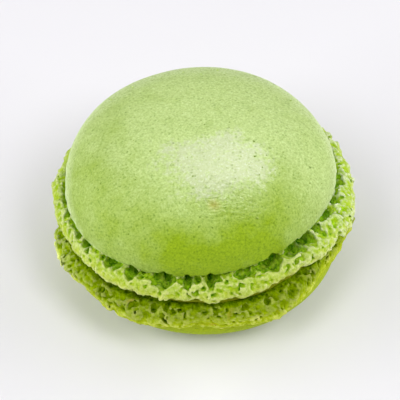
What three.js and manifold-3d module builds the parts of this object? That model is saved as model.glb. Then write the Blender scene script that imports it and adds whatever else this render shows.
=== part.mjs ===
// A French macaron: two almond meringue shells, each a smooth cap on a ruffled, bubbly foot,
// sandwiched round a thin layer of cream. Millimetres, +Z up. It stands at z = 0 on the small
// flat spot of the bottom cap, with the origin under its middle.

import * as THREE from "three";
import { mergeVertices } from "three/addons/utils/BufferGeometryUtils.js";
import Module from "manifold-3d";

const wasm = await Module();
wasm.setup();

// Driving dimensions.
const creamGap = 1.1; // between the flat faces of the two shells
const creamRadius = 21.2;
const creamPlace = { x: -0.2, y: -0.4 };
const clearance = 0.3; // between the cream and each shell
const restRadius = 6.5; // flat spot under the bottom cap
const capEdge = 0.35; // height of the rounded edge of a cap
const capOverhang = 0.75; // how far that edge reaches over the crevice under it
const ledgeDrop = 0.35; // from that edge down to the bottom of the crevice
const turnSteps = 90; // facets round the biscuit

// Each shell is described standing on its flat face, cap up. A list of waves gives an uneven
// outline: how many bulges go round, how deep they are, and the turn in degrees of one of
// them. hollows are the largest bubbles of the foot: turn in degrees, height and radius.
const topShell = {
  capRadius: 20.4,
  capRise: 11.2,
  capSquareness: 2.2, // 2 is an ellipse, and more is fuller at the shoulder
  footRadius: 22.65,
  footHeight: 3.7,
  widestHeight: 0.9,
  underRadius: 20.7, // where the flat face starts to curve up
  place: { x: -0.5, y: 0.15 },
  capWaves: [
    { count: 2, depth: 0.2, turn: 59 },
    { count: 3, depth: 0.18, turn: -2 },
    { count: 5, depth: 0.11, turn: -6 },
  ],
  footWaves: [
    { count: 1, depth: 0.45, turn: 8 },
    { count: 2, depth: 0.2, turn: -33 },
    { count: 3, depth: 0.2, turn: 4 },
    { count: 4, depth: 0.2, turn: -14 },
    { count: 7, depth: 0.22, turn: -25 },
    { count: 17, depth: 0.12, turn: 0 },
  ],
  hollows: [
    [168, 1.2, 0.55],
    [211, 3.2, 0.6],
    [239, 3.2, 0.7],
    [251, 3.0, 0.95],
    [264, 2.9, 0.85],
    [272, 3.0, 0.9],
    [285, 3.1, 0.85],
    [298, 3.2, 1.0],
    [311, 2.3, 0.75],
    [317, 3.3, 0.85],
    [327, 2.9, 0.6],
    [355, 3.0, 0.7],
  ],
  creviceBubbles: { count: 17, height: 3.1, smallest: 0.55, largest: 0.9, seed: 11 },
  sideBubbles: { count: 15, height: 1.7, smallest: 0.4, largest: 0.65, seed: 23 },
};

const bottomShell = {
  capRadius: 20.1,
  capRise: 8.7,
  capSquareness: 2.3,
  footRadius: 22.4,
  footHeight: 4.1,
  widestHeight: 2.1,
  underRadius: 20.4,
  place: { x: 0, y: -0.95 },
  capWaves: [
    { count: 2, depth: 0.15, turn: 20 },
    { count: 3, depth: 0.12, turn: 50 },
  ],
  footWaves: [
    { count: 1, depth: 0.45, turn: 177 },
    { count: 2, depth: 0.25, turn: -55 },
    { count: 4, depth: 0.2, turn: -23 },
    { count: 5, depth: 0.25, turn: -3 },
    { count: 6, depth: 0.3, turn: 3 },
    { count: 7, depth: 0.35, turn: 10 },
    { count: 19, depth: 0.12, turn: 5 },
  ],
  hollows: [
    [172, 0.6, 0.8],
    [121, 0.6, 0.65],
    [113, 0.5, 0.75],
    [96, 0.4, 0.65],
    [77, 0.5, 0.65],
    [68, 0.5, 0.65],
    [55, 0.8, 0.95],
    [27, 0.6, 0.5],
  ],
  creviceBubbles: { count: 15, height: 3.5, smallest: 0.5, largest: 0.75, seed: 37 },
  sideBubbles: { count: 18, height: 1.0, smallest: 0.45, largest: 0.75, seed: 41 },
};

// A repeatable stream of numbers from 0 to 1.
function randomFrom(seed) {
  let state = seed;
  return () => {
    state = (state * 16807) % 2147483647;
    return state / 2147483647;
  };
}

// Points along a quarter of an ellipse from one point to another, without the first. It
// leaves the first point straight up where upFirst is set, and straight along r otherwise.
function quarterArc(from, to, steps, upFirst) {
  const points = [];
  for (let i = 1; i <= steps; i++) {
    const angle = (Math.PI / 2) * (i / steps);
    const slow = 1 - Math.cos(angle);
    const fast = Math.sin(angle);
    const r = from.x + (to.x - from.x) * (upFirst ? slow : fast);
    const z = from.y + (to.y - from.y) * (upFirst ? fast : slow);
    points.push(new THREE.Vector2(r, z));
  }
  return points;
}

function creviceRadius(shell) {
  return shell.capRadius - capOverhang;
}

// Height of the cap over its own edge, at a distance r from its axis.
function capHeightAt(shell, r) {
  const n = shell.capSquareness;
  return shell.capRise * Math.max(0, 1 - (r / shell.capRadius) ** n) ** (1 / n);
}

// Half of a shell's section, from the middle of its flat face out round the foot, into the
// crevice and up over the cap, which is level within flatRadius.
function shellSection(shell, flatRadius) {
  const under = new THREE.Vector2(shell.underRadius, 0);
  const widest = new THREE.Vector2(shell.footRadius, shell.widestHeight);
  const ledge = new THREE.Vector2(creviceRadius(shell), shell.footHeight - ledgeDrop);
  const soffit = new THREE.Vector2(creviceRadius(shell) + 0.1, shell.footHeight);
  const edge = new THREE.Vector2(shell.capRadius, shell.footHeight + capEdge);
  const section = [new THREE.Vector2(0, 0), under];
  section.push(...quarterArc(under, widest, 3, false));
  section.push(...quarterArc(widest, ledge, 5, true));
  section.push(soffit);
  section.push(...quarterArc(soffit, edge, 2, false));
  const capSteps = 9;
  const lastAngle = Math.acos((flatRadius / shell.capRadius) ** (shell.capSquareness / 2));
  for (let i = 1; i < capSteps; i++) {
    const angle = (lastAngle * i) / capSteps;
    const r = shell.capRadius * Math.cos(angle) ** (2 / shell.capSquareness);
    section.push(new THREE.Vector2(r, edge.y + capHeightAt(shell, r)));
  }
  const topHeight = edge.y + capHeightAt(shell, flatRadius);
  if (flatRadius > 0) section.push(new THREE.Vector2(flatRadius, topHeight));
  section.push(new THREE.Vector2(0, topHeight));
  return section;
}

// How far the waves push the outline out at a turn in radians.
function waveAt(waves, turn) {
  let push = 0;
  for (const wave of waves) {
    push += wave.depth * Math.cos(wave.count * (turn - THREE.MathUtils.degToRad(wave.turn)));
  }
  return push;
}

// Turns a section round the Z axis and pushes each point out by pushAt(r, z, turn).
function unevenLathe(section, pushAt) {
  const lathe = new THREE.LatheGeometry(section, turnSteps).rotateX(Math.PI / 2);
  lathe.deleteAttribute("normal");
  lathe.deleteAttribute("uv");
  const geometry = mergeVertices(lathe, 1e-4);
  const position = geometry.getAttribute("position");
  for (let i = 0; i < position.count; i++) {
    const x = position.getX(i);
    const y = position.getY(i);
    const r = Math.hypot(x, y);
    const push = pushAt(r, position.getZ(i), Math.atan2(y, x));
    position.setXY(i, x + (push * x) / Math.max(r, 1), y + (push * y) / Math.max(r, 1));
  }
  return geometry;
}

// The foot is uneven from the crevice out to its widest line, and the cap from its edge in.
function shellPush(shell, r, z, turn) {
  if (z > shell.footHeight - ledgeDrop / 2) {
    return (r / shell.capRadius) * waveAt(shell.capWaves, turn);
  }
  const inner = creviceRadius(shell);
  const share = THREE.MathUtils.clamp((r - inner) / (shell.footRadius - inner), 0, 1);
  return share * waveAt(shell.footWaves, turn);
}

function toSolid(geometry) {
  const vertProperties = geometry.getAttribute("position").array;
  const triVerts = new Uint32Array(geometry.index.array);
  return new wasm.Manifold(new wasm.Mesh({ numProp: 3, vertProperties, triVerts }));
}

function toGeometry(solid) {
  const mesh = solid.getMesh();
  const geometry = new THREE.BufferGeometry();
  geometry.setAttribute("position", new THREE.BufferAttribute(mesh.vertProperties, 3));
  geometry.setIndex(new THREE.BufferAttribute(mesh.triVerts, 1));
  return geometry;
}

// Radius of the foot's outside at a height over its flat face, before the waves.
function footRadiusAt(shell, height) {
  const above = height > shell.widestHeight;
  const span = above ? shell.footHeight - ledgeDrop - shell.widestHeight : shell.widestHeight;
  const across = Math.min(1, Math.abs(height - shell.widestHeight) / span);
  const inner = above ? creviceRadius(shell) : shell.underRadius;
  return inner + (shell.footRadius - inner) * Math.sqrt(1 - across * across);
}

// A burst bubble: a coarse ball sunk into the side of the foot.
function bubbleSolid(shell, turn, height, radius, detail) {
  const sunk = 0.25 * radius;
  const outline = footRadiusAt(shell, height);
  const reach = outline + shellPush(shell, outline, height, turn) - sunk;
  const ball = new THREE.IcosahedronGeometry(radius, detail);
  ball.deleteAttribute("normal");
  ball.deleteAttribute("uv");
  ball.rotateZ(turn);
  ball.translate(reach * Math.cos(turn), reach * Math.sin(turn), height);
  return toSolid(mergeVertices(ball, 1e-4));
}

// A ring of bubbles of uneven size, spaced unevenly round the foot.
function bubbleRing(shell, ring) {
  const random = randomFrom(ring.seed);
  const balls = [];
  for (let i = 0; i < ring.count; i++) {
    const turn = (2 * Math.PI * (i + 0.7 * (random() - 0.5))) / ring.count;
    const height = ring.height + 0.5 * (random() - 0.5);
    const radius = ring.smallest + (ring.largest - ring.smallest) * random();
    balls.push(bubbleSolid(shell, turn, height, radius, 0));
  }
  return balls;
}

function shellGeometry(shell, flatRadius) {
  const section = shellSection(shell, flatRadius);
  const body = toSolid(unevenLathe(section, (r, z, turn) => shellPush(shell, r, z, turn)));
  const hollows = shell.hollows.map(([turn, height, radius]) =>
    bubbleSolid(shell, THREE.MathUtils.degToRad(turn), height, radius, 1),
  );
  const rings = [shell.creviceBubbles, shell.sideBubbles].flatMap((ring) => bubbleRing(shell, ring));
  return toGeometry([...hollows, ...rings].reduce((solid, ball) => solid.subtract(ball), body));
}

// The cream is a disc with a rounded, slightly uneven edge that shows between the feet.
function creamGeometry() {
  const halfHeight = creamGap / 2 - clearance;
  const flat = creamRadius - halfHeight;
  const corner = new THREE.Vector2(flat, -halfHeight);
  const bulge = new THREE.Vector2(creamRadius, 0);
  const section = [new THREE.Vector2(0, -halfHeight), corner];
  section.push(...quarterArc(corner, bulge, 2, false));
  section.push(...quarterArc(bulge, new THREE.Vector2(flat, halfHeight), 2, true));
  section.push(new THREE.Vector2(0, halfHeight));
  const waves = [
    { count: 3, depth: 0.25, turn: -80 },
    { count: 8, depth: 0.12, turn: 10 },
  ];
  return unevenLathe(section, (r, z, turn) => (r / creamRadius) * waveAt(waves, turn));
}

function piece(name, geometry, color, roughness) {
  const material = new THREE.MeshStandardMaterial({ color, roughness, metalness: 0 });
  const mesh = new THREE.Mesh(geometry, material);
  mesh.name = name;
  return mesh;
}

// Heights of the two shells' flat faces over the table.
const bottomFace = bottomShell.footHeight + capEdge + capHeightAt(bottomShell, restRadius);
const topFace = bottomFace + creamGap;

const macaron = new THREE.Group();

const bottom = piece("bottom_shell", shellGeometry(bottomShell, restRadius), 0xb4cf5a, 0.85);
bottom.rotation.x = Math.PI;
bottom.position.set(bottomShell.place.x, bottomShell.place.y, bottomFace);
macaron.add(bottom);

const cream = piece("filling", creamGeometry(), 0x9aa624, 0.6);
cream.position.set(creamPlace.x, creamPlace.y, bottomFace + creamGap / 2);
macaron.add(cream);

const top = piece("top_shell", shellGeometry(topShell, 0), 0xbcd977, 0.85);
top.position.set(topShell.place.x, topShell.place.y, topFace);
macaron.add(top);

export default macaron;
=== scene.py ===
import math

import bmesh
import bpy
import numpy as np
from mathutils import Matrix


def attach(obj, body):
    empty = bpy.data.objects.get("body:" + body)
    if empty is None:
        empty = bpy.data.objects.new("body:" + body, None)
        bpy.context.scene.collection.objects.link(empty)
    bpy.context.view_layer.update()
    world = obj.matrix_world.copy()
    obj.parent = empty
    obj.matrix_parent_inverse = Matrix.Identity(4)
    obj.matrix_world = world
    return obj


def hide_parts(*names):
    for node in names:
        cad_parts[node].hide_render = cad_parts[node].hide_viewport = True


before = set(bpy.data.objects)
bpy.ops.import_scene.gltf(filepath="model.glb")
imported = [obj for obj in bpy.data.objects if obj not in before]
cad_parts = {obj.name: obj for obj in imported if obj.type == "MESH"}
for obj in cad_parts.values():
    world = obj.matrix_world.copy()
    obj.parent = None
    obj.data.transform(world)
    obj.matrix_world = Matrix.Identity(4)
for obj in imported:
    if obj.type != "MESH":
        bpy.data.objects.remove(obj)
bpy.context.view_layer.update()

import openvdb
from mathutils import Matrix, Vector

mm = 0.001  # shapes are worked out in millimetres and go into Blender in metres

biscuit = {  # sizes that the pieces share, the same as in the CAD source
    "creamGap": 1.1,
    "creamRadius": 21.2,
    "restRadius": 6.5,
    "capEdge": 0.35,
    "capOverhang": 0.75,
}
creamShade = 3.2  # height on a foot up to which painted shade near the cream darkens it
core = {  # what is hidden inside a shell, where cap and foam are joined
    "radius": 18.9,  # the cap's solid core reaches down this wide
    "base": 0.25,  # height of its underside over the flat face of the foot
    "ringInner": 18.55,  # the ring of foam starts inside the core
    "overlap": 0.2,  # how far the ring reaches up into the cap
    "shrink": 0.1,  # how much smaller the ring is without its lumps
}
fineness = {
    "voxel": 0.195,  # side of a cell of the foam's grid
    "margin": 1.7,  # room on the grid for lumps round the foot
    "roomUnder": 0.6,
    "roomOver": 1.4,
    "lumpReach": 1.2,  # further out than this lumps aren't worked out
    "turnSteps": 340,
    "capSteps": 46,
    "sharpFrom": 50,  # degrees between faces that shade as an edge
    "patchUneven": 2.3,  # scale of the ragged outlines of the patches on the cap
    "patchDown": -0.5,  # height over the cap's edge where they end
}


def ramp(values, start, full):
    # 0 up to the start and 1 from where it is full, which may be lower.
    return np.clip((values - start) / (full - start), 0, 1)


def turnsOf(steps):
    return np.arange(steps) * 2 * math.pi / steps


def ringPoints(radius, turn, height):
    return np.stack([radius * np.cos(turn), radius * np.sin(turn),
                     np.broadcast_to(height, turn.shape)], axis=1)


def ringQuads(rings, steps, closed=False):
    # Four-sided faces from each ring of corners to the next, and from the last to the first if closed.
    here = np.arange(steps)
    beside = (here + 1) % steps
    faces = []
    for ring in range(rings if closed else rings - 1):
        first, second = ring * steps, (ring + 1) % rings * steps
        faces.append(np.stack([first + here, first + beside, second + beside, second + here], axis=1))
    return np.concatenate(faces)


def waveAt(waves, turn):
    # How far uneven baking pushes an outline out, as in the CAD source.
    push = np.zeros_like(turn)
    for count, depth, turnedTo in waves:
        push += depth * np.cos(count * (turn - math.radians(turnedTo)))
    return push


def makeNoise(seed, cells=48):
    # Smooth random field from about -1 to 1 that repeats after some cells.
    lattice = np.random.RandomState(seed).uniform(-1, 1, (cells, cells, cells)).astype(np.float32)

    def noiseAt(points, scale):
        scaled = np.asarray(points, np.float32) / scale
        floor = np.floor(scaled)
        part = scaled - floor
        part = part * part * (3 - 2 * part)
        low = floor.astype(np.int64) % cells
        high = (low + 1) % cells
        index = [(low[:, axis], high[:, axis]) for axis in range(3)]
        weight = [(1 - part[:, axis], part[:, axis]) for axis in range(3)]
        total = np.zeros(len(scaled), np.float32)
        for x, y, z in np.ndindex(2, 2, 2):
            corner = lattice[index[0][x], index[1][y], index[2][z]]
            total += weight[0][x] * weight[1][y] * weight[2][z] * corner
        return total

    return noiseAt


crumbNoise = makeNoise(7)
peelNoise = makeNoise(19)


def noiseSum(noise, points, layers, shift=0.0, shiftPerScale=0.0):
    # Noise of several scales and depths on top of each other, shifted so that they don't line up.
    total = np.zeros(len(points))
    for scale, depth in layers:
        total += depth * noise(points + (shift + shiftPerScale * scale), scale)
    return total


def capHeightAt(shell, radius):
    power = shell["capSquareness"]
    inside = np.clip(1 - (np.asarray(radius) / shell["capRadius"]) ** power, 0, 1)
    return shell["capRise"] * inside ** (1 / power)


def creviceRadius(shell):
    return shell["capRadius"] - biscuit["capOverhang"]


def quarterArc(start, end, steps, upFirst):
    # Quarter of an ellipse without its first point, straight up or straight out at the start.
    points = []
    for step in range(1, steps + 1):
        angle = math.pi / 2 * step / steps
        slow, fast = 1 - math.cos(angle), math.sin(angle)
        shareR, shareZ = (slow, fast) if upFirst else (fast, slow)
        points.append((start[0] + (end[0] - start[0]) * shareR,
                       start[1] + (end[1] - start[1]) * shareZ))
    return points


def footSection(shell):
    # Closed section of the ring of foam, from its flat face round the foot and into the cap.
    inner, ledge = core["ringInner"], shell["ledge"]
    under = (shell["underRadius"], 0.0)
    widest = (shell["footRadius"], shell["widestHeight"])
    buried = max(shell["footHeight"] + core["overlap"], ledge[1])
    section = [(inner, 0.0), under]
    section += quarterArc(under, widest, steps=10, upFirst=False)
    section += quarterArc(widest, ledge, steps=24, upFirst=True)
    if buried > ledge[1]:
        section.append((ledge[0], buried))
    section.append((inner, buried))
    return np.array(section)


def distanceTable(section, step=0.05, margin=1.6):
    # Signed distances to a closed section on a fine grid, below zero inside it.
    low = section.min(0) - margin
    high = section.max(0) + margin
    radii = np.arange(low[0], high[0], step)
    heights = np.arange(low[1], high[1], step)
    gridR, gridZ = np.meshgrid(radii, heights, indexing="ij")
    nearest = np.full(gridR.shape, np.inf)
    inside = np.zeros(gridR.shape, bool)
    for (startR, startZ), (endR, endZ) in zip(section, np.roll(section, -1, axis=0)):
        alongR, alongZ = endR - startR, endZ - startZ
        share = ((gridR - startR) * alongR + (gridZ - startZ) * alongZ) / (alongR ** 2 + alongZ ** 2)
        share = np.clip(share, 0, 1)
        nearest = np.minimum(nearest, np.hypot(gridR - startR - share * alongR,
                                               gridZ - startZ - share * alongZ))
        if startZ != endZ:
            crosses = (startZ > gridZ) != (endZ > gridZ)
            inside ^= crosses & (gridR < startR + (gridZ - startZ) * alongR / alongZ)
    return low, step, np.where(inside, -nearest, nearest)


def sampleAt(values, places):
    # Values of a grid at places between its cells, blended from the nearest ones.
    at = np.clip(places, 0, np.array(values.shape) - 1.001)
    low = at.astype(int)
    part = at - low
    total = np.zeros(len(at))
    for corner in np.ndindex(*[2] * values.ndim):
        weight = 1.0
        for axis, high in enumerate(corner):
            weight = weight * (part[:, axis] if high else 1 - part[:, axis])
        total += weight * values[tuple(low[:, axis] + high for axis, high in enumerate(corner))]
    return total


def smoothDistance(shell, points):
    # Distance to the foot as it would be without crumb or bubbles.
    radius = np.hypot(points[:, 0], points[:, 1])
    turn = np.arctan2(points[:, 1], points[:, 0])
    inner = shell["ledge"][0]
    stretch = 1 + waveAt(shell["footWaves"], turn) / (shell["footRadius"] - inner)
    straight = np.where(radius > inner, inner + (radius - inner) / stretch, radius)
    low, step, values = shell["table"]
    return sampleAt(values, (np.stack([straight, points[:, 2]], axis=1) - low) / step)


def footRadiusAt(shell, height):
    above = height > shell["widestHeight"]
    span = shell["ledge"][1] - shell["widestHeight"] if above else shell["widestHeight"]
    across = min(1, abs(height - shell["widestHeight"]) / span)
    inner = shell["ledge"][0] if above else shell["underRadius"]
    return inner + (shell["footRadius"] - inner) * math.sqrt(1 - across * across)


def holeCentre(shell, turn, height, surfaceHeight, sunk):
    # A point below the surface of the foot, sunk from the outline at the surface height.
    inner = shell["ledge"][0]
    radius = footRadiusAt(shell, surfaceHeight)
    share = min(1, max(0, (radius - inner) / (shell["footRadius"] - inner)))
    reach = radius + share * float(waveAt(shell["footWaves"], np.array([turn]))[0]) - sunk
    return reach * math.cos(turn), reach * math.sin(turn), height


cluster = {  # of holes that make up one hollow
    "holes": 3,
    "smaller": (0.45, 0.75),  # size of the others next to the first
    "lower": (-0.6, 0.35),  # how far they lie below or above it, in its radii
    "ring": 21,  # they lie up to a hole's radius to either side, measured this far from the middle
    "sunk": 0.2,  # how far a hole's middle lies below the surface, in its radii
    "deeper": 1.6,  # how far it reaches inward, in its radii
}


def hollowsOf(shell):
    # Each named hollow as a cluster of uneven holes: centre, radius and how deep each reaches.
    random = np.random.RandomState(shell["seed"] + 7)
    holes = []
    for turnDegrees, height, radius in shell["hollows"]:
        for number in range(cluster["holes"]):
            other = number > 0
            size = radius * (random.uniform(*cluster["smaller"]) if other else 1)
            turn = math.radians(turnDegrees) + other * random.uniform(-1, 1) * radius / cluster["ring"]
            level = height + other * random.uniform(*cluster["lower"]) * radius
            surface = max(0.1, min(level, shell["footHeight"] - 0.4))
            centre = holeCentre(shell, turn, level, surface, cluster["sunk"] * size)
            holes.append((*centre, size, cluster["deeper"]))
    return holes


def footBubbles(shell):
    # Named hollows first, then many smaller bubbles.
    random = np.random.RandomState(shell["seed"])
    bubbles = hollowsOf(shell)
    for count, smallest, largest, lowest, highest, deeper in shell["foam"]:
        for _ in range(count):
            turn = random.uniform(-math.pi, math.pi)
            height = shell["ledge"][1] * random.uniform(lowest, highest)
            radius = smallest + (largest - smallest) * random.uniform() ** 2
            sunk = random.uniform(-0.1, 0.6) * radius
            bubbles.append((*holeCentre(shell, turn, height, height, sunk), radius, deeper))
    return bubbles


def grooveSize(shell, turn):
    # The groove under the lip swells into caves and closes to nothing at the bridges between them.
    groove = shell["groove"]
    size = np.full_like(turn, groove["least"])
    for turnDegrees, radius in groove["caves"]:
        off = np.angle(np.exp(1j * (turn - math.radians(turnDegrees)))) * shell["capRadius"]
        across = off / (groove["wider"] * radius)
        size = np.maximum(size, radius * np.sqrt(np.clip(1 - across ** 2, 0, 1)))
    onRing = ringPoints(shell["capRadius"], turn, 0.0)
    for scale, amount in groove["uneven"]:
        size = size + amount * crumbNoise(onRing + 2.7, scale)
    return np.clip(size * groove["size"], 0, groove["most"])


def grooveMiddle(shell, turn):
    return shell["capRadius"] - shell["groove"]["inset"] + waveAt(shell["capWaves"], turn)


def grooveTube(shell):
    # The groove as a solid tube, to cut the cap with.
    groove = shell["groove"]
    steps, sides = groove["steps"], groove["sides"]
    tiltCos, tiltSin = math.cos(groove["tilt"]), math.sin(groove["tilt"])
    turn = turnsOf(steps)
    size = np.maximum(grooveSize(shell, turn), groove["thinnest"])
    rings = []
    for side in range(sides):
        angle = 2 * math.pi * side / sides
        along, across = math.cos(angle), math.sin(angle)
        along = along * groove["deeper"] if along < 0 else along
        offR = size * (along * tiltCos - across * tiltSin)
        offZ = size * (along * tiltSin + across * tiltCos)
        rings.append(ringPoints(grooveMiddle(shell, turn) + offR, turn,
                                shell["footHeight"] + groove["lift"] + offZ))
    corners = np.concatenate(rings)
    rough = ramp(np.tile(size, sides), 0, 0.4)[:, None]
    for scale, depth in groove["crumb"]:
        corners += depth * rough * np.stack(
            [crumbNoise(corners + shift, scale) for shift in (1.1, 5.2, 9.3)], axis=1)
    return corners, ringQuads(sides, steps, closed=True)


def grooveDepth(shell, points, bend):
    # How far inside the groove each point is, to cut the foam with.
    groove = shell["groove"]
    tiltCos, tiltSin = math.cos(groove["tilt"]), math.sin(groove["tilt"])
    turn = np.arctan2(points[:, 1], points[:, 0])
    offR = np.hypot(points[:, 0], points[:, 1]) + bend - grooveMiddle(shell, turn)
    offZ = points[:, 2] - shell["footHeight"] - groove["lift"]
    along = offR * tiltCos + offZ * tiltSin
    across = offZ * tiltCos - offR * tiltSin
    along = np.where(along < 0, along / groove["deeper"], along)
    return grooveSize(shell, turn) - np.hypot(along, across)


def cutOut(body, hole, rim):
    # Takes a hole out of a body of distances, with a softened rim.
    soft = np.clip(0.5 + 0.5 * (body - hole) / rim, 0, 1)
    return hole + (body - hole) * soft + rim * soft * (1 - soft)


def foaminess(shell, height):
    # 0 where the foot is a smooth doughy band, 1 where it is all foam.
    return ramp(height, *shell["foamAcross"])


def lumpsAt(shell, points):
    # Lumps and ridges of the foam, which fade where the ring meets the core.
    spread = np.hypot(points[:, 0], points[:, 1])
    rough = ramp(spread, core["ringInner"] + 0.4, core["ringInner"] + 1.2)
    lumps = core["shrink"] + noiseSum(crumbNoise, points, shell["lumps"], shiftPerScale=31.7)
    for scale, depth in shell["ridges"]:
        ridge = 1.3 * np.abs(crumbNoise(points + 17.3 * scale, scale)) - 0.45
        lumps += foaminess(shell, points[:, 2]) * depth * ridge
    return rough * lumps


def cutBubbles(shell, field, warp, cells, origin):
    voxel = fineness["voxel"]
    for *centre, size, deeper in footBubbles(shell):
        centre = np.array(centre)
        outward = centre[:2] / np.hypot(*centre[:2])
        around = size * deeper + 3 * voxel
        first = np.maximum(0, np.floor((centre - around - origin) / voxel).astype(int))
        last = np.minimum(field.shape, np.ceil((centre + around - origin) / voxel).astype(int) + 1)
        block = tuple(slice(low, high) for low, high in zip(first, last))
        offsets = np.ix_(*(cells[axis][block[axis]] - centre[axis] for axis in range(3)))
        offX, offY, offZ = (offset + bend[block] for offset, bend in zip(offsets, warp))
        along = offX * outward[0] + offY * outward[1]
        sideways = -offX * outward[1] + offY * outward[0]
        squeezed = np.where(along < 0, along / deeper, along)
        hole = size - np.sqrt(squeezed ** 2 + sideways ** 2 + offZ ** 2)
        field[block] = cutOut(field[block], hole, shell["rim"])


def blurAlong(values, width, axis):
    edges = [(0, 0)] * 3
    edges[axis] = (width // 2 + 1, width // 2)
    summed = np.cumsum(np.pad(values, edges, mode="edge"), axis=axis, dtype=np.float32)
    count = values.shape[axis]
    return (np.take(summed, range(width, width + count), axis)
            - np.take(summed, range(count), axis)) / width


def solidAround(shell, field, spread, heights):
    # Share of solid about each cell, looked at broadly and finely.
    solid = np.clip(0.5 - field / fineness["voxel"], 0, 1)
    # the core, the cap over the foot and the cream count as solid, so that the painted shade deepens under
    # the lip and by the cream
    solid[np.broadcast_to(spread < core["ringInner"] + 0.1, field.shape)] = 1
    solid[(spread < shell["capRadius"]) & (heights > shell["footHeight"])] = 1
    solid[(spread < biscuit["creamRadius"]) & (heights < -0.02)] = 1
    for axis in (0, 1, 2):
        solid = blurAlong(solid, 3, axis)
    fine = solid
    for axis in (0, 1, 2, 0, 1, 2):
        solid = blurAlong(solid, 5, axis)
    return solid, fine


def foamRing(shell):
    # The foot: a ring with lumps and burst bubbles, worked out as distances on a fine grid.
    voxel, inner = fineness["voxel"], core["ringInner"]
    reach = shell["footRadius"] + fineness["margin"]
    origin = np.array([-reach, -reach, -fineness["roomUnder"]])
    sizes = (2 * reach, 2 * reach, shell["ledge"][1] + fineness["roomUnder"] + fineness["roomOver"])
    counts = tuple(int(size / voxel) + 1 for size in sizes)
    cells = [start + voxel * np.arange(count) for start, count in zip(origin, counts)]
    spread = np.hypot(*np.meshgrid(cells[0], cells[1], indexing="ij"))[:, :, None]
    columns = np.argwhere(spread[:, :, 0] > inner - 3 * voxel)
    points = np.stack([np.repeat(cells[0][columns[:, 0]], counts[2]),
                       np.repeat(cells[1][columns[:, 1]], counts[2]),
                       np.tile(cells[2], len(columns))], axis=1)

    def onGrid(values, elsewhere):
        whole = np.full(counts, elsewhere, np.float32)
        whole[columns[:, 0], columns[:, 1], :] = values.reshape(len(columns), counts[2])
        return whole

    distance = smoothDistance(shell, points)
    near = distance < fineness["lumpReach"]
    close = points[near]
    distance[near] += lumpsAt(shell, close)

    # Every hole is bent by the same noise, so that none of them is round.
    bendScale, bendDepth = shell["bend"]
    warp = []
    for shift in (3.3, 7.7, 12.1):
        bend = np.zeros(len(points), np.float32)
        bend[near] = bendDepth * crumbNoise(close + shift, bendScale)
        warp.append(onGrid(bend, 0.0))
    if "groove" in shell:
        distance[near] = cutOut(distance[near], grooveDepth(shell, close, bend[near]), shell["rim"])

    outside = 2.0  # distance that stands for empty space
    field = onGrid(distance, outside)
    cutBubbles(shell, field, warp, cells, origin)
    shallow = np.nonzero((np.abs(field) < 3 * voxel) & (spread > inner + 0.5))
    places = np.stack([cells[axis][shallow[axis]] for axis in range(3)], axis=1)
    field[shallow] += noiseSum(crumbNoise, places, shell["crumb"], shift=3.1)

    grid = openvdb.FloatGrid(outside)
    grid.copyFromArray(field)
    corners, triangles, quads = grid.convertToPolygons(0.0, 0.0)
    corners = np.asarray(corners, float) * voxel + origin
    quads = np.asarray(quads)
    faces = np.concatenate([quads[:, [0, 1, 2]], quads[:, [0, 2, 3]]])
    if len(triangles):
        faces = np.concatenate([faces, np.asarray(triangles)])
    broad, fine = solidAround(shell, field, spread, cells[2])
    return largestPiece(corners, faces), broad, fine, origin


def inLargest(count, groups):
    # Which corners belong to the largest connected piece, where each group is an edge or a face.
    label = np.arange(count)
    while True:
        lowest = label[groups].min(1)
        merged = label.copy()
        for side in range(groups.shape[1]):
            np.minimum.at(merged, groups[:, side], lowest)
        merged = merged[merged]
        if (merged == label).all():
            break
        label = merged
    names, sizes = np.unique(label, return_counts=True)
    return label == names[sizes.argmax()]


def largestPiece(corners, faces):
    # Drops crumbs cut loose and bubbles closed in, and turns the faces outward.
    faces = faces[inLargest(len(corners), faces)[faces[:, 0]]]
    used, renumbered = np.unique(faces, return_inverse=True)
    corners, faces = corners[used], renumbered.reshape(-1, 3)
    first, second, third = (corners[faces[:, side]] for side in range(3))
    if np.einsum("ij,ij->i", first, np.cross(second, third)).sum() < 0:
        faces = faces[:, ::-1]
    return corners, faces


def roughenCap(shell, corners, flatRadius):
    # Broad swells, a faint orange peel and a ragged lower edge.
    foot = shell["footHeight"]
    spread = np.hypot(corners[:, 0], corners[:, 1])
    outward = corners[:, :2] / np.maximum(spread, 0.5)[:, None]
    onCap = ramp(corners[:, 2] - foot, 0.3, 1.8)
    if flatRadius > 0:
        onCap = onCap * ramp(spread, flatRadius, flatRadius + 3)
    skin = noiseSum(peelNoise, corners, shell["skin"], shiftPerScale=11.3)
    lean = ramp(corners[:, 2] - foot, 0, shell["capRise"] * 1.1)
    corners[:, :2] += outward * (skin * onCap * (1 - lean))[:, None]
    corners[:, 2] += skin * onCap * lean

    atEdge = ramp(np.abs(corners[:, 2] - foot - 0.2), 1.1, 0)
    atEdge *= ramp(spread, creviceRadius(shell) - 0.2, creviceRadius(shell) + 0.1)
    ragged = noiseSum(crumbNoise, corners * (1, 1, 0.3), shell["raggedEdge"], shift=5.1)
    corners[:, 2] += atEdge * ragged
    corners[:, :2] += outward * (atEdge * ragged * 0.5)[:, None]


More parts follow.
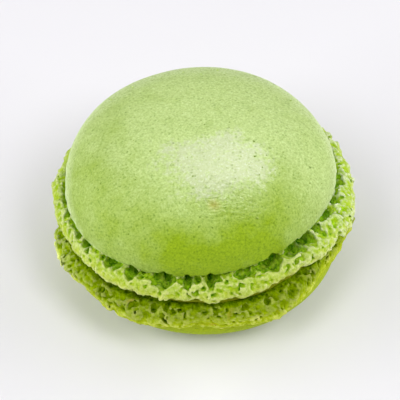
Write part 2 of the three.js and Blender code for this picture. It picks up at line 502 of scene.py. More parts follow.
def capBody(shell, flatRadius):
    # The smooth cap with its core, turned from one section, slightly uneven all over.
    foot = shell["footHeight"]
    crease = (creviceRadius(shell) + 0.1, foot)
    edge = (shell["capRadius"], foot + biscuit["capEdge"])
    section = [(core["radius"], core["base"]), (core["radius"], foot), crease]
    section += quarterArc(crease, edge, steps=5, upFirst=False)
    lastAngle = math.acos((flatRadius / shell["capRadius"]) ** (shell["capSquareness"] / 2))
    for step in range(1, fineness["capSteps"] + 1):
        angle = lastAngle * step / fineness["capSteps"]
        radius = shell["capRadius"] * max(0, math.cos(angle)) ** (2 / shell["capSquareness"])
        section.append((radius, edge[1] + float(capHeightAt(shell, radius))))
    if flatRadius == 0:
        section.pop()

    steps = fineness["turnSteps"]
    turn = turnsOf(steps)
    rings = []
    for radius, height in section:
        pushed = radius / shell["capRadius"] * waveAt(shell["capWaves"], turn) * (height >= foot)
        rings.append(ringPoints(radius + pushed, turn, height))
    corners = np.concatenate(rings)
    roughenCap(shell, corners, flatRadius)

    under, over = len(corners), len(corners) + 1
    topHeight = edge[1] + float(capHeightAt(shell, flatRadius))
    corners = np.concatenate([corners, [[0, 0, core["base"]], [0, 0, topHeight]]])
    here = np.arange(steps)
    beside = (here + 1) % steps
    last = (len(section) - 1) * steps
    fanUnder = np.stack([beside, here, np.full(steps, under)], axis=1)
    fanOver = np.stack([last + here, last + beside, np.full(steps, over)], axis=1)
    quads = ringQuads(len(section), steps)
    return corners, [*quads.tolist(), *fanUnder.tolist(), *fanOver.tolist()]


def newObject(name, corners, faces, materials=(), finish=0):
    mesh = bpy.data.meshes.new(name)
    faces = faces.tolist() if isinstance(faces, np.ndarray) else faces
    mesh.from_pydata((np.asarray(corners) * mm).tolist(), [], faces)
    mesh.update()
    for material in materials:
        mesh.materials.append(material)
    mesh.polygons.foreach_set("material_index", np.full(len(mesh.polygons), finish, np.int32))
    thing = bpy.data.objects.new(name, mesh)
    bpy.context.scene.collection.objects.link(thing)
    return thing


def joinSolids(keeper, other, operation):
    # One closed solid from two, and the second is gone afterwards.
    joiner = keeper.modifiers.new("join", "BOOLEAN")
    joiner.operation = operation
    joiner.solver = "MANIFOLD"
    joiner.object = other
    depsgraph = bpy.context.evaluated_depsgraph_get()
    joined = bpy.data.meshes.new_from_object(keeper.evaluated_get(depsgraph))
    keeper.modifiers.clear()
    before = keeper.data
    keeper.data = joined
    bpy.data.meshes.remove(before)
    bpy.data.objects.remove(other)


def dropLoose(thing):
    # Removes what the cuts left hanging free.
    mesh = thing.data
    ends = np.zeros(len(mesh.edges) * 2, np.int32)
    mesh.edges.foreach_get("vertices", ends)
    kept = inLargest(len(mesh.vertices), ends.reshape(-1, 2))
    work = bmesh.new()
    work.from_mesh(mesh)
    work.verts.ensure_lookup_table()
    loose = [work.verts[index] for index in np.flatnonzero(~kept)]
    bmesh.ops.delete(work, geom=loose, context="VERTS")
    work.to_mesh(mesh)
    work.free()


def settle(thing, place, height, upsideDown=False):
    # Moves a finished mesh to its place and shades it smooth, but for its sharp edges.
    mesh = thing.data
    if upsideDown:
        mesh.transform(Matrix.Rotation(math.pi, 4, "X"))
    mesh.transform(Matrix.Translation(Vector((*place, height)) * mm))
    mesh.polygons.foreach_set("use_smooth", [True] * len(mesh.polygons))
    mesh.set_sharp_from_angle(angle=math.radians(fineness["sharpFrom"]))
    triangles = sum(len(polygon.vertices) - 2 for polygon in mesh.polygons)
    print(thing.name, "made of", triangles, "triangles")


def ballsOnCap(shell, places):
    # Small balls with their middles on the cap's surface, each by turn, distance out and radius.
    ball = bmesh.new()
    bmesh.ops.create_icosphere(ball, subdivisions=1, radius=1.0)
    ballCorners = np.array([corner.co[:] for corner in ball.verts])
    ballFaces = np.array([[corner.index for corner in face.verts] for face in ball.faces])
    ball.free()
    corners, faces = [], []
    for number, (turnDegrees, spread, radius) in enumerate(places):
        turn = math.radians(turnDegrees)
        height = shell["footHeight"] + biscuit["capEdge"] + float(capHeightAt(shell, spread))
        wave = float(waveAt(shell["capWaves"], np.array([turn]))[0])
        pushed = spread * (1 + wave / shell["capRadius"])
        centre = (pushed * math.cos(turn), pushed * math.sin(turn), height)
        corners.append(ballCorners * radius + centre)
        faces.append(ballFaces + number * len(ballCorners))
    return np.concatenate(corners), np.concatenate(faces)


pinhole = {"smallest": 0.07, "largest": 0.14, "furthest": 19}  # radii, and distance from the middle


def pinholes(shell, flatRadius):
    # Tiny burst bubbles in the skin of the cap, as small balls to cut away.
    random = np.random.RandomState(shell["seed"] + 1)
    places = list(shell["pinholes"])
    for _ in range(shell["morePinholes"]):
        spread = max(flatRadius + 1, pinhole["furthest"] * math.sqrt(random.uniform()))
        turn = random.uniform(0, 360)
        places.append((turn, spread, random.uniform(pinhole["smallest"], pinhole["largest"])))
    return ballsOnCap(shell, places)


def newNode(tree, kind, inputs=None, **settings):
    # A shader node with its settings, each input linked to a socket or set to a value.
    node = tree.nodes.new("ShaderNode" + kind)
    for name, value in settings.items():
        setattr(node, name, value)
    for name, value in (inputs or {}).items():
        if isinstance(value, bpy.types.NodeSocket):
            tree.links.new(value, node.inputs[name])
        else:
            node.inputs[name].default_value = value
    return node


def newMaterial(name, roughness, specular):
    material = bpy.data.materials.new(name)
    material.use_nodes = True
    tree = material.node_tree
    tree.nodes.clear()
    shader = newNode(tree, "BsdfPrincipled", {"Roughness": roughness, "Specular IOR Level": specular})
    newNode(tree, "OutputMaterial", {"Surface": shader.outputs["BSDF"]})
    return material, tree, shader


def placeNode(tree):
    return newNode(tree, "TexCoord").outputs["Object"]


def attributeNode(tree, name):
    return newNode(tree, "Attribute", attribute_type="GEOMETRY", attribute_name=name).outputs["Fac"]


def rangeNode(tree, source, low, high, outLow=0.0, outHigh=1.0):
    return newNode(tree, "MapRange", {"Value": source, "From Min": low, "From Max": high,
                                      "To Min": outLow, "To Max": outHigh}).outputs[0]


def mixNode(tree, factor, first, second, blend="MIX"):
    first, second = ((*color, 1) if isinstance(color, tuple) else color for color in (first, second))
    return newNode(tree, "Mix", {0: factor, 6: first, 7: second},
                   data_type="RGBA", blend_type=blend).outputs[2]


def noiseNode(tree, place, scale, detail, roughness=0.5):
    return newNode(tree, "TexNoise", {"Vector": place, "Scale": scale, "Detail": detail,
                                      "Roughness": roughness}).outputs["Fac"]


def mathNode(tree, operation, first, second):
    return newNode(tree, "Math", {0: first, 1: second}, operation=operation, use_clamp=True).outputs[0]


def bumpNode(tree, height, strength, distance, before=None):
    inputs = {"Height": height, "Strength": strength, "Distance": distance}
    if before is not None:
        inputs["Normal"] = before
    return newNode(tree, "Bump", inputs).outputs["Normal"]


def grainNode(tree, place, grain):
    # Noise, read from one value to another, as a share that runs between two more.
    return rangeNode(tree, noiseNode(tree, place, *grain["noise"]), *grain["read"], *grain["gives"])


skinGrain = {  # noise is scale, detail and roughness, and a bump is strength and distance
    "tone": {"noise": (230, 4, 0.6), "read": (0.3, 0.7), "gives": (-0.2, 0.2)},
    "stipple": {"noise": (1300, 4, 0.75), "read": (0.32, 0.62), "gives": (-0.75, 0.0)},
    "dull": {"noise": (900, 3, 0.7), "read": (0.5, 0.3), "gives": (0.0, 0.16)},
    "fine": (2900, 3, 0.8),
    "fineDark": (0.5, 0.3, 0.0, 0.8),  # read from one value to another, as a share between two more
    "fineLight": (0.52, 0.7),
    "dryAndPaintedHighlightShows": (0.1, 0.6),
    "dryAndPaintedHighlightClears": (0, 1, 0, 0.35),  # how much of the dark grain goes where the dry patch with its painted highlight is
    "stainShows": (0, 1, 0, 0.5),
    "sheenShows": (0.5, 1.0, 0.0, 0.75),
    "sheenBlend": 0.4,
    "pricks": 1700,  # scale of the pattern of pricks
    "prickSize": (0.38, 0.15),
    "prickShows": (0.3, 0.85, 0.0, 0.7),
    "matte": 0.62,  # roughness of the bare skin
    "smooth": 0.21,  # and of the dry and rippled patches
    "waves": (1500, 3),
    "wavesStretched": (0.42, 1, 1),
    "waveBump": (1.0, 0.0006),
    "peel": (480, 3),
    "peelBump": (0.5, 0.0004),
    "fineBump": (1.0, 0.0001),
    "prickBump": (0.8, 0.00007),
}
capFinish = {
    "pale": (0.49, 0.64, 0.21),
    "strong": (0.27, 0.415, 0.008),
    # whiter colour of the dry, smoother patch, partly a painted highlight
    "dryAndPaintedHighlight": (0.50, 0.595, 0.285),
    "stain": (0.46, 0.34, 0.05),
    "paintedSheen": (0.82, 0.95, 0.52),  # painted sheen: a paler colour where the dry skin is seen at a flat angle
    "dark": (0.5, 0.62, 0.3),  # the dark grain, and the painted shade of the pinpricks, times the colour
    "light": (1.28, 1.22, 1.6),  # the pale grain, times the colour
    "specular": 0.25,
}
lowerCapFinish = {
    "pale": (0.49, 0.61, 0.03),
    "strong": (0.38, 0.50, 0.004),
    "dryAndPaintedHighlight": (0.45, 0.55, 0.05),
    "stain": (0.40, 0.52, 0.008),
    # painted sheen at a flat angle
    "paintedSheen": (0.44, 0.56, 0.03),
    "dark": (0.6, 0.7, 0.3),
    "light": (1.15, 1.12, 1.2),
    "specular": 0.08,
}


def capSkin(name, finish):
    grain = skinGrain
    material, tree, shader = newMaterial(name, grain["matte"], finish["specular"])
    place = placeNode(tree)
    # the cap's tone, partly its own and partly painted light and shade, paler high up and darker low at
    # the front
    tone = mathNode(tree, "ADD", attributeNode(tree, "bloomAndPaintedLight"), grainNode(tree, place, grain["tone"]))
    color = mixNode(tree, tone, finish["strong"], finish["pale"])
    # a dry, smoother patch, whose whiter colour is partly a painted highlight
    dryAndPaintedHighlight = mathNode(tree, "ADD", attributeNode(tree, "dryAndPaintedHighlight"), grainNode(tree, place, grain["stipple"]))
    dryAndPaintedHighlight = rangeNode(tree, dryAndPaintedHighlight, *grain["dryAndPaintedHighlightShows"])
    color = mixNode(tree, dryAndPaintedHighlight, color, finish["dryAndPaintedHighlight"])
    stain = rangeNode(tree, attributeNode(tree, "stain"), *grain["stainShows"])
    color = mixNode(tree, stain, color, finish["stain"])
    # painted sheen: the colour turns paler where the surface is seen at a flat angle
    rim = newNode(tree, "LayerWeight", {"Blend": grain["sheenBlend"]})
    sheen = rangeNode(tree, rim.outputs["Facing"], *grain["sheenShows"])
    color = mixNode(tree, sheen, color, finish["paintedSheen"])

    color = mixNode(tree, grainNode(tree, place, grain["dull"]), color, finish["dark"], "MULTIPLY")
    fine = noiseNode(tree, place, *grain["fine"])
    dark = mathNode(tree, "SUBTRACT", rangeNode(tree, fine, *grain["fineDark"]),
                    rangeNode(tree, dryAndPaintedHighlight, *grain["dryAndPaintedHighlightClears"]))
    color = mixNode(tree, dark, color, finish["dark"], "MULTIPLY")
    color = mixNode(tree, rangeNode(tree, fine, *grain["fineLight"]), color, finish["light"], "MULTIPLY")
    # dark dots for pinpricks: painted shade of tiny pits, which the bump below dents slightly
    dots = newNode(tree, "TexVoronoi", {"Vector": place, "Scale": grain["pricks"]})
    pricks = mathNode(tree, "MULTIPLY", rangeNode(tree, dots.outputs["Distance"], *grain["prickSize"]),
                      rangeNode(tree, dots.outputs["Color"], *grain["prickShows"]))
    color = mixNode(tree, pricks, color, finish["dark"], "MULTIPLY")
    tree.links.new(color, shader.inputs["Base Color"])

    rippled = attributeNode(tree, "ripple")
    smooth = mathNode(tree, "ADD", dryAndPaintedHighlight, rippled)
    roughness = rangeNode(tree, smooth, 0, 1, grain["matte"], grain["smooth"])
    tree.links.new(roughness, shader.inputs["Roughness"])
    stretched = newNode(tree, "Mapping", {"Vector": place, "Scale": grain["wavesStretched"]})
    waves = noiseNode(tree, stretched.outputs["Vector"], *grain["waves"])
    normal = bumpNode(tree, mathNode(tree, "MULTIPLY", waves, rippled), *grain["waveBump"])
    normal = bumpNode(tree, noiseNode(tree, place, *grain["peel"]), *grain["peelBump"], normal)
    normal = bumpNode(tree, fine, *grain["fineBump"], normal)
    normal = bumpNode(tree, rangeNode(tree, pricks, 0, 1, 1, 0), *grain["prickBump"], normal)
    tree.links.new(normal, shader.inputs["Normal"])
    return material


crumbGrain = {
    "patches": {"noise": (600, 3, 0.6), "read": (0.35, 0.65), "gives": (-0.2, 0.2)},
    "pocks": {"noise": (1150, 5, 0.7), "read": (0.4, 0.58), "gives": (0.0, 1.0)},
    "crest": (0.5, 0.3, 0.0, 0.55),  # what stands out finely, and broadly
    "swell": (0.5, 0.36, 0.0, 0.4),
    "hollow": (0.55, 0.8, 0.0),  # what lies deep finely, and broadly
    "pit": (0.5, 0.72),
    "depth": (0.5, 1.3, 0.0, 0.8),
    "paintedShadeNearCream": (0.15, 0.6, 0.0),
    "spots": (330, 1),
    "spotShows": (0.66, 0.74, 0.0),
    "lumps": (1300, 3, 0.6),
    "lumpShows": (0.45, 0.65, 0.0, 0.35),
    "lumpBump": (0.8, 0.0005),
    "fine": (3000, 3, 0.75),
    "fineDark": (0.5, 0.3, 0.0, 0.7),
    "fineBump": (1.0, 0.0002),
    "roughness": 0.6,
}
crustFinish = {
    "crest": (0.77, 0.84, 0.50),
    "pale": (0.57, 0.68, 0.11),
    "middle": (0.37, 0.56, 0.015),
    # the hollows' deep green, partly their own colour and partly painted shade
    "deep": (0.04, 0.22, 0.0),
    "paintedHollowLight": (0.42, 0.74, 0.02),  # painted light on the crumb inside the hollows
    "baked": (0.45, 0.36, 0.02),  # spots that took colour in the oven
    "paintedFrontLight": (0.93, 0.93, 0.5),
    "paintedSideLight": (1.2, 1.17, 1.45),
    "paintedShadeNearCream": 0.0,  # how strongly each of these three shows
    "spots": 0.0,
    "hollow": 0.65,
}
lowerCrustFinish = {
    "crest": (0.95, 1.0, 0.46),
    "pale": (0.53, 0.67, 0.03),
    "middle": (0.37, 0.52, 0.002),
    "deep": (0.03, 0.09, 0.0),
    "paintedHollowLight": (0.16, 0.28, 0.0),
    "baked": (0.45, 0.36, 0.02),
    "paintedFrontLight": (0.93, 0.92, 0.5),
    "paintedSideLight": (1.33, 1.28, 1.4),
    "paintedShadeNearCream": 0.6,
    "spots": 0.6,
    "hollow": 0.95,
}


def footCrust(name, finish):
    grain = crumbGrain
    material, tree, shader = newMaterial(name, grain["roughness"], 0.0)
    place = placeNode(tree)
    foam = mathNode(tree, "ADD", attributeNode(tree, "foam"), grainNode(tree, place, grain["patches"]))
    color = mixNode(tree, foam, finish["pale"], finish["middle"])
    crumb, crowding = attributeNode(tree, "crumb"), attributeNode(tree, "crowding")
    # paler on what stands out: partly the crust's own paler crumb, partly painted light on the crests
    crest = mathNode(tree, "ADD", rangeNode(tree, crumb, *grain["crest"]),
                     rangeNode(tree, crowding, *grain["swell"]))
    color = mixNode(tree, crest, color, finish["crest"])

    # mottled painted shade and painted light inside the hollows
    deep = mixNode(tree, grainNode(tree, place, grain["pocks"]), finish["deep"], finish["paintedHollowLight"])
    sinking = [  # four signs of lying deep in the foam, where painted shade darkens the crumb towards the deep colour
        rangeNode(tree, crumb, *grain["hollow"], finish["hollow"]),
        rangeNode(tree, crowding, *grain["pit"]),
        rangeNode(tree, attributeNode(tree, "depth"), *grain["depth"]),
        rangeNode(tree, attributeNode(tree, "paintedShadeNearCream"), *grain["paintedShadeNearCream"], finish["paintedShadeNearCream"]),
    ]
    for sunk in sinking:
        color = mixNode(tree, sunk, color, deep)

    spots = rangeNode(tree, noiseNode(tree, place, *grain["spots"]), *grain["spotShows"], finish["spots"])
    color = mixNode(tree, spots, color, finish["baked"])
    lumps = noiseNode(tree, place, *grain["lumps"])
    color = mixNode(tree, rangeNode(tree, lumps, *grain["lumpShows"]), color, finish["middle"])
    fine = noiseNode(tree, place, *grain["fine"])
    color = mixNode(tree, rangeNode(tree, fine, *grain["fineDark"]), color, finish["middle"], "MULTIPLY")
    # painted light by turn: brighter and whiter at the sides, darker and yellower at the front
    paintedLightTint = mixNode(tree, attributeNode(tree, "side"), finish["paintedFrontLight"], finish["paintedSideLight"])
    color = mixNode(tree, 1.0, color, paintedLightTint, "MULTIPLY")
    tree.links.new(color, shader.inputs["Base Color"])
    normal = bumpNode(tree, lumps, *grain["lumpBump"])
    tree.links.new(bumpNode(tree, fine, *grain["fineBump"], normal), shader.inputs["Normal"])
    return material


def plainShade(name, look):
    material, tree, shader = newMaterial(name, look["roughness"], look["specular"])
    shader.inputs["Base Color"].default_value = (*look["color"], 1)
    return material


# the walls of the pinholes get a darker colour: painted shade inside them
pinholeLook = {"color": (0.22, 0.34, 0.04), "roughness": 0.7, "specular": 0.1}
pinholeMaterial = plainShade("pinholeShade", pinholeLook)
topMaterials = [capSkin("cappedMeringue", capFinish), footCrust("footCrumb", crustFinish), pinholeMaterial]
bottomMaterials = [capSkin("lowerMeringue", lowerCapFinish), footCrust("lowerCrumb", lowerCrustFinish),
                   pinholeMaterial]
print("materials made")


def setValues(mesh, name, values):
    layer = mesh.attributes.new(name, "FLOAT", "POINT")
    layer.data.foreach_set("value", np.asarray(values, np.float32))


def paintValues(mesh, shell, broad, fine, origin):
    # Values at each corner that the materials read.
    corners = np.zeros(len(mesh.vertices) * 3, np.float32)
    mesh.vertices.foreach_get("co", corners)
    corners = corners.reshape(-1, 3) / mm
    above = corners[:, 2] - shell["footHeight"] - biscuit["capEdge"]
    turn = np.degrees(np.arctan2(corners[:, 1], corners[:, 0]))
    inCells = (corners - origin) / fineness["voxel"]
    # crowding, crumb and depth drive the paler crests and the painted shade in the hollows
    setValues(mesh, "crowding", sampleAt(broad, inCells))  # low on crests and high in pits
    setValues(mesh, "crumb", sampleAt(fine, inCells))
    setValues(mesh, "depth", -smoothDistance(shell, corners))
    setValues(mesh, "foam", foaminess(shell, corners[:, 2]))
    # painted shade of the gap by the cream, darkest at the foot's flat face
    setValues(mesh, "paintedShadeNearCream", ramp(corners[:, 2], creamShade, 0))
    # how much painted side light each corner takes, by its turn
    setValues(mesh, "side", np.interp(turn, *shell["paintedSideLightAround"]))
    # partly the cap's own paler crown, partly painted light and shade by height and turn
    bloomAndPaintedLight = np.maximum(np.interp(above, *shell["bloomAndPaintedLightAbove"]), np.interp(turn, *shell["bloomAndPaintedLightAround"]))
    setValues(mesh, "bloomAndPaintedLight", bloomAndPaintedLight)
    for patch in shell["patches"]:
        offX, offY = corners[:, 0] - patch["at"][0], corners[:, 1] - patch["at"][1]
        away = np.hypot(offX, offY) / np.interp(np.degrees(np.arctan2(offY, offX)), *patch["reach"])
        away += patch["uneven"] * peelNoise(corners, fineness["patchUneven"])
        onCap = above > fineness["patchDown"]
        setValues(mesh, patch["name"], ramp(away, 1, 1 - patch["soft"]) * onCap)


def buildShell(name, shell, flatRadius, upsideDown, height, materials):
    # Material 0 is the cap's, 1 the foam's and 2 the pinholes'.
    shell["table"] = distanceTable(footSection(shell))
    ring, broad, fine, origin = foamRing(shell)
    body = newObject(name, *capBody(shell, flatRadius), materials, 0)
    joinSolids(body, newObject("holes", *pinholes(shell, flatRadius), materials, 2), "DIFFERENCE")
    if shell["crumbs"]:
        joinSolids(body, newObject("crumbs", *ballsOnCap(shell, shell["crumbs"]), materials, 0), "UNION")
    if "groove" in shell:
        joinSolids(body, newObject("groove", *grooveTube(shell), materials, 1), "DIFFERENCE")
    joinSolids(body, newObject("ring", *ring, materials, 1), "UNION")
    dropLoose(body)
    paintValues(body.data, shell, broad, fine, origin)
    settle(body, shell["place"], height, upsideDown)
    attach(body, "root")
    return body


topShell = {
    "capRadius": 20.4,
    "capRise": 11.2,
    "capSquareness": 2.32,  # 2 is an ellipse, and more is fuller at the shoulder
    "footRadius": 22.65,
    "footHeight": 3.7,
    "widestHeight": 0.9,
    "underRadius": 20.7,
    "ledge": (19.65, 3.35),  # where the foam meets the cap
    "place": (-0.5, 0.15),
    "capWaves": [(2, 0.2, 59), (3, 0.18, -2), (5, 0.11, -6)],  # count, depth and turn
    "footWaves": [(1, 0.45, 8), (2, 0.2, -33), (3, 0.2, 4), (4, 0.2, -14), (7, 0.22, -25), (17, 0.12, 0)],
    "seed": 101,
    "groove": {  # under the lip
        "inset": -0.1,
        "lift": -0.65,
        "tilt": 0.6,
        "deeper": 2.2,
        "wider": 1.25,
        "least": 0.3,
        "most": 1.7,
        "thinnest": 0.02,  # the tube stays closed where the groove ends
        "size": 1.2,
        "uneven": [(2.0, 0.2), (0.8, 0.35)],
        "crumb": [(0.9, 0.2), (0.45, 0.16)],
        "steps": 600,
        "sides": 16,
        "caves": [  # turn and radius
            (168, 0.5), (206, 0.7), (212, 0.75), (227, 0.8), (231, 0.7), (238, 0.9), (242, 0.75),
            (250, 1.1), (253, 1.3), (263, 0.75), (266, 0.7), (273, 1.0), (284, 0.9), (289, 0.7),
            (296, 0.9), (300, 1.2), (309, 0.9), (313, 0.95), (319, 1.0), (326, 0.7), (337, 0.7),
            (345, 0.7), (355, 0.85), (20, 0.7), (34, 0.6), (52, 0.9), (71, 0.6), (83, 0.8),
            (104, 0.7), (121, 0.9), (139, 0.6), (152, 0.8), (183, 0.7),
        ],
    },
    "hollows": [  # turn, height and radius
        (168, 1.2, 0.5), (250, 2.5, 0.55), (266, 1.9, 0.55), (269, 2.4, 0.45), (304, 2.2, 0.45),
        (308, 2.3, 0.45), (311, 2.3, 0.6), (314, 2.9, 0.4), (352, 2.2, 0.4),
    ],
    "bend": (0.9, 0.35),  # how the holes are bent: scale and amount
    "foam": [  # count, smallest, largest, lowest and highest share of the height, how deep
        (50, 0.3, 0.7, 0.7, 1.0, 1.8),
        (100, 0.2, 0.42, 0.4, 1.0, 1.7),
        (200, 0.15, 0.26, 0.08, 1.0, 1.6),
    ],
    "foamAcross": (0.9, 2.6),  # heights where the crust is a smooth band and where it is all foam
    "lumps": [(2.6, 0.25), (1.3, 0.25)],  # scale and depth, as in the next lists
    "ridges": [(0.9, 0.2)],
    "crumb": [(0.75, 0.18), (0.42, 0.16), (0.27, 0.1)],
    "skin": [(9.0, 0.16), (4.0, 0.08), (1.7, 0.03)],
    "raggedEdge": [(2.2, 0.45), (0.9, 0.4)],
    "rim": 0.2,
    "pinholes": [  # turn, distance from the middle and radius
        (-17, 1.4, 0.15), (33, 5.4, 0.12), (-1, 5.0, 0.15), (-25, 9.3, 0.19), (-25, 11.7, 0.15),
        (-39, 10.9, 0.17), (-95, 10.1, 0.17), (-117, 8.7, 0.13), (-48, 13.4, 0.14), (-146, 8.2, 0.17),
        (-135, 12.9, 0.14), (-28, 18.5, 0.14), (-21, 17.6, 0.15), (-22, 19.5, 0.13), (-124, 19.0, 0.14),
    ],
    "morePinholes": 80,
    "crumbs": [  # bits stuck on the cap
        (-81, 20.0, 0.16), (-63, 17.9, 0.2), (-100, 18.6, 0.12), (-52, 15.5, 0.12), (62, 13.5, 0.2),
        (75, 15.0, 0.22), (84, 13.0, 0.18), (95, 14.2, 0.22), (110, 13.6, 0.16), (48, 14.6, 0.2),
        (28, 16.5, 0.2), (140, 16.2, 0.18), (127, 15.0, 0.2),
    ],
    "patches": [  # each has a reach by turn
        # the dry patch is smoother, and its whiter colour is partly a painted highlight
        {"name": "dryAndPaintedHighlight", "at": (3.5, -7.6), "soft": 0.48, "uneven": 0.2, "reach": (
            [-180, -157, -110, -58, -10, 10, 46, 72, 108, 135, 155, 180],
            [12.3, 10.7, 8.8, 7.1, 9.8, 10.2, 6.9, 9.0, 6.7, 7.5, 12.3, 12.3])},
        {"name": "ripple", "at": (4.0, -13.6), "soft": 0.6, "uneven": 0.15, "reach": (
            [-180, -90, 0, 90, 180], [7.0, 3.2, 7.0, 3.2, 7.0])},
        {"name": "stain", "at": (1.9, -14.6), "soft": 0.8, "uneven": 0.3, "reach": (
            [-180, -90, 0, 90, 180], [1.3, 0.9, 1.3, 0.9, 1.3])},
    ],
    "bloomAndPaintedLightAbove": (  # how pale the cap is at each height over its edge, and at each turn; partly its own paler crown, partly painted light and shade: paler to the top, the right and the back, darker and more saturated low at the front
        [3.4, 5, 6.3, 7.5, 8.4, 9.5, 10.5],
        [-0.08, 0.02, 0.2, 0.4, 0.6, 0.8, 1]),
    "bloomAndPaintedLightAround": (
        [-180, -165, -122, -100, -66, -50, -38, -22, 120, 180],
        [0.75, 0.52, 0.34, -0.05, -0.08, 0.25, 0.6, 1, 1, 0.75]),
    # painted light on the foot by turn: 1 takes the sides' colour, 0 the front's
    "paintedSideLightAround": ([-180, -150, -120, -60, -20, 0, 60, 180], [0.4, 0.4, 0.1, 0.1, 0.9, 1, 0.5, 0.4]),
}

bottomShell = {
    "capRadius": 20.1,
    "capRise": 8.7,
    "capSquareness": 2.3,
    "footRadius": 22.4,
    "footHeight": 4.1,
    "widestHeight": 2.1,
    "underRadius": 20.4,
    "ledge": (20.0, 4.6),
    "place": (0.0, -0.95),
    "capWaves": [(2, 0.15, 20), (3, 0.12, 50)],
    "footWaves": [(1, 0.45, 177), (2, 0.25, -55), (4, 0.2, -23), (5, 0.25, -3), (6, 0.3, 3),
                  (7, 0.35, 10), (19, 0.12, 5)],
    "seed": 202,
    "hollows": [
        (172, 0.5, 0.75), (159, 1.7, 0.6), (126, 0.3, 0.45), (121, 0.5, 0.6), (118, 0.2, 0.45),
        (113, 0.4, 0.7), (108, 0.2, 0.6), (103, 0.4, 0.45), (96, 0.2, 0.6), (88, 0.8, 0.3),
        (77, 0.5, 0.6), (68, 0.4, 0.6), (55, 0.7, 0.9), (44, 0.9, 0.45), (27, 0.5, 0.45),
    ],
    "bend": (0.9, 0.3),
    "foam": [
        (60, 0.3, 0.6, 0.0, 0.25, 1.5),
        (260, 0.2, 0.42, 0.0, 0.4, 1.5),
        (420, 0.15, 0.27, 0.0, 0.75, 1.4),
    ],
    "foamAcross": (2.6, 1.0),
    "lumps": [(2.6, 0.3), (1.3, 0.22)],
    "ridges": [(0.9, 0.2)],
    "crumb": [(0.75, 0.16), (0.42, 0.14), (0.27, 0.09)],
    "skin": [(9.0, 0.06), (2.6, 0.02)],
    "raggedEdge": [(1.6, 0.15), (0.7, 0.1)],
    "rim": 0.12,
    "pinholes": [],
    "morePinholes": 10,
    "crumbs": [],
    "patches": [],
    "bloomAndPaintedLightAbove": ([0], [0.15]),
    "bloomAndPaintedLightAround": ([0], [0.15]),
    # painted light on the foot by turn: 1 takes the sides' colour, 0 the front's
    "paintedSideLightAround": ([-180, -120, -60, 0, 40, 140, 165, 180], [1, 0.6, 0.3, 0, 0, 0.1, 0.9, 1]),
}

bottomFace = (bottomShell["footHeight"] + biscuit["capEdge"]
              + float(capHeightAt(bottomShell, biscuit["restRadius"])))
topFace = bottomFace + biscuit["creamGap"]

top = buildShell("macaronTop", topShell, 0.0, False, topFace, topMaterials)
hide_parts("top_shell")
bottom = buildShell("macaronBottom", bottomShell, biscuit["restRadius"], True, bottomFace, bottomMaterials)
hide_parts("bottom_shell")
print("shells made")

cream = {
    "radius": 20.5,
    "waves": [(1, 0.2, -80), (3, 0.25, -80), (8, 0.12, 10)],
    "place": (-0.2, -0.4),
    "steps": 360,
    "bulge": 0.5,  # how far the rounded edge stands out
    "clearance": 0.03,
    "rough": [(1.7, 0.012), (0.7, 0.006)],  # scale, and share of the radius
    "light": (0.27, 0.32, 0.005),
    "dark": (0.17, 0.205, 0.0),
    "mottle": (500, 3),
    "roughness": 0.5,
    "specular": 0.1,
}


def creamMaterial(name, cream):
    material, tree, shader = newMaterial(name, cream["roughness"], cream["specular"])
    mottle = noiseNode(tree, placeNode(tree), *cream["mottle"])
    tree.links.new(mixNode(tree, mottle, cream["light"], cream["dark"]), shader.inputs["Base Color"])
    return material


def buildCream(cream):
    half = biscuit["creamGap"] / 2
    level = half - cream["clearance"]
    flat = cream["radius"] - cream["bulge"]
    steps = cream["steps"]
    section = [(flat * 0.4, -level), (flat * 0.8, -level), (flat, -level)]
    section += quarterArc((flat, -level), (cream["radius"], 0), steps=6, upFirst=False)
    section += quarterArc((cream["radius"], 0), (flat, level), steps=6, upFirst=True)
    section += [(flat * 0.8, level), (flat * 0.4, level)]
    turn = turnsOf(steps)
    wave = waveAt(cream["waves"], turn)
    corners = np.concatenate([ringPoints(radius + radius / cream["radius"] * wave, turn, height)
                              for radius, height in section])
    spread = np.hypot(corners[:, 0], corners[:, 1])
    rough = noiseSum(peelNoise, corners, cream["rough"])
    corners[:, :2] *= (1 + rough * (spread > flat * 0.9))[:, None]
    last = (len(section) - 1) * steps
    faces = ringQuads(len(section), steps).tolist()
    faces += [list(range(steps))[::-1], list(range(last, last + steps))]
    thing = newObject("creamFilling", corners, faces, [creamMaterial("pistachioCream", cream)])
    settle(thing, cream["place"], bottomFace + half)
    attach(thing, "root")
    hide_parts("filling")


buildCream(cream)
print("cream made")

studio = {
    "floorSize": 1.6,  # metres
    "paper": {"color": (0.82, 0.82, 0.82), "roughness": 0.9, "specular": 0.0},
    "airLight": 0.0,
    "aimHeight": 0.012,
    "above": (0.97, 1.0, 0.92),  # light colours, which keep the shadows neutral
    "side": (1.02, 1.0, 1.04),
    "front": (1.03, 1.0, 1.10),
    "plain": (1, 1, 1),
}
softboxes = [  # name, azimuth, elevation, distance and size in metres, power in watts, colour
    ("overhead", 71, 64.6, 0.553, (0.6, 0.7), 0.85, "above"),
    ("gloss", 56, 58.9, 0.584, (0.34, 0.5), 7.4, "plain"),
    ("sideLeft", 180, 25, 0.8, (1.2, 0.12), 5.5, "side"),
    ("sideRight", 0, 25, 0.8, (1.2, 0.12), 4.6, "side"),
    ("frontLeft", 240, 50, 0.8, (0.25, 0.25), 1.36, "front"),
    ("frontRight", 300, 50, 0.8, (0.25, 0.25), 1.95, "front"),
    ("frontHigh", 270, 70, 0.8, (0.25, 0.25), 0.48, "front"),
]


def buildFloor():
    half = studio["floorSize"] / 2
    mesh = bpy.data.meshes.new("studioFloor")
    mesh.from_pydata([(-half, -half, 0), (half, -half, 0), (half, half, 0), (-half, half, 0)],
                     [], [(0, 1, 2, 3)])
    floor = bpy.data.objects.new("studioFloor", mesh)
    bpy.context.scene.collection.objects.link(floor)
    mesh.materials.append(plainShade("paper", studio["paper"]))


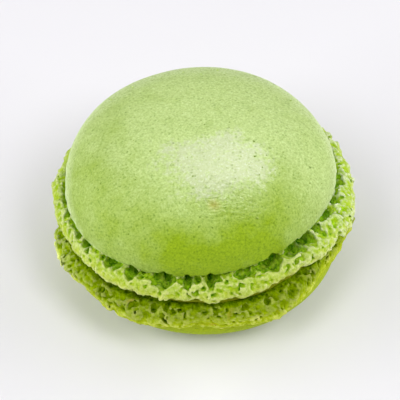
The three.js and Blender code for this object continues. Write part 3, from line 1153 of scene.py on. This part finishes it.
def softbox(name, azimuth, elevation, distance, size, power, color):
    # A studio light, turned to the biscuit. Azimuth 0 is on the right and -90 in front.
    turn, rise = math.radians(azimuth), math.radians(elevation)
    towards = Vector((math.cos(turn) * math.cos(rise), math.sin(turn) * math.cos(rise), math.sin(rise)))
    light = bpy.data.lights.new(name, "AREA")
    light.shape = "RECTANGLE"
    light.size, light.size_y = size
    light.energy = power
    light.color = studio[color]
    thing = bpy.data.objects.new(name, light)
    thing.location = towards * distance + Vector((0, 0, studio["aimHeight"]))
    thing.rotation_mode = "QUATERNION"
    thing.rotation_quaternion = (-towards).to_track_quat("-Z", "Y")
    thing.visible_glossy = False
    bpy.context.scene.collection.objects.link(thing)
    return thing


buildFloor()
lights = {box[0]: softbox(*box) for box in softboxes}
for name in ("overhead", "gloss"):
    lights[name].rotation_quaternion = (1, 0, 0, 0)  # these hang level and shine straight down
lights["gloss"].visible_glossy = True  # it makes the highlight and nothing else
lights["gloss"].visible_diffuse = False

world = bpy.data.worlds.new("studioAir")
bpy.context.scene.world = world
world.use_nodes = True
air = world.node_tree.nodes["Background"]
air.inputs["Color"].default_value = (1, 1, 1, 1)
air.inputs["Strength"].default_value = studio["airLight"]
bpy.context.scene.view_settings.view_transform = "Standard"

cameraPlan = {
    "elevation": 44.0,
    "roll": 3.9,
    "distance": 450.0,
    "imageSide": 400,
    "sensor": 36,
    "pixelsPerMm": 6.62,
    "aimedAt": (-0.2, -0.4, 13.41),
    "lands": (202.7, 202.5),  # pixel where that point lands
}


def placeCamera(plan):
    tilt, roll = math.radians(plan["elevation"]), math.radians(plan["roll"])
    across = Vector((1, 0, 0))
    upward = Vector((0, math.sin(tilt), math.cos(tilt)))
    back = Vector((0, -math.cos(tilt), math.sin(tilt)))
    right = across * math.cos(roll) - upward * math.sin(roll)
    up = across * math.sin(roll) + upward * math.cos(roll)
    offRight = (plan["lands"][0] - plan["imageSide"] / 2) / plan["pixelsPerMm"]
    offDown = (plan["lands"][1] - plan["imageSide"] / 2) / plan["pixelsPerMm"]
    centre = Vector(plan["aimedAt"]) - right * offRight + up * offDown
    data = bpy.data.cameras.new("camera")
    data.sensor_width = plan["sensor"]
    data.lens = plan["pixelsPerMm"] * plan["distance"] * plan["sensor"] / plan["imageSide"]
    data.clip_start, data.clip_end = 0.01, 10
    camera = bpy.data.objects.new("camera", data)
    camera.matrix_world = Matrix((right, up, back)).transposed().to_4x4()
    camera.location = (centre + back * plan["distance"]) * mm
    bpy.context.scene.collection.objects.link(camera)
    bpy.context.scene.camera = camera


placeCamera(cameraPlan)
print("stage made")
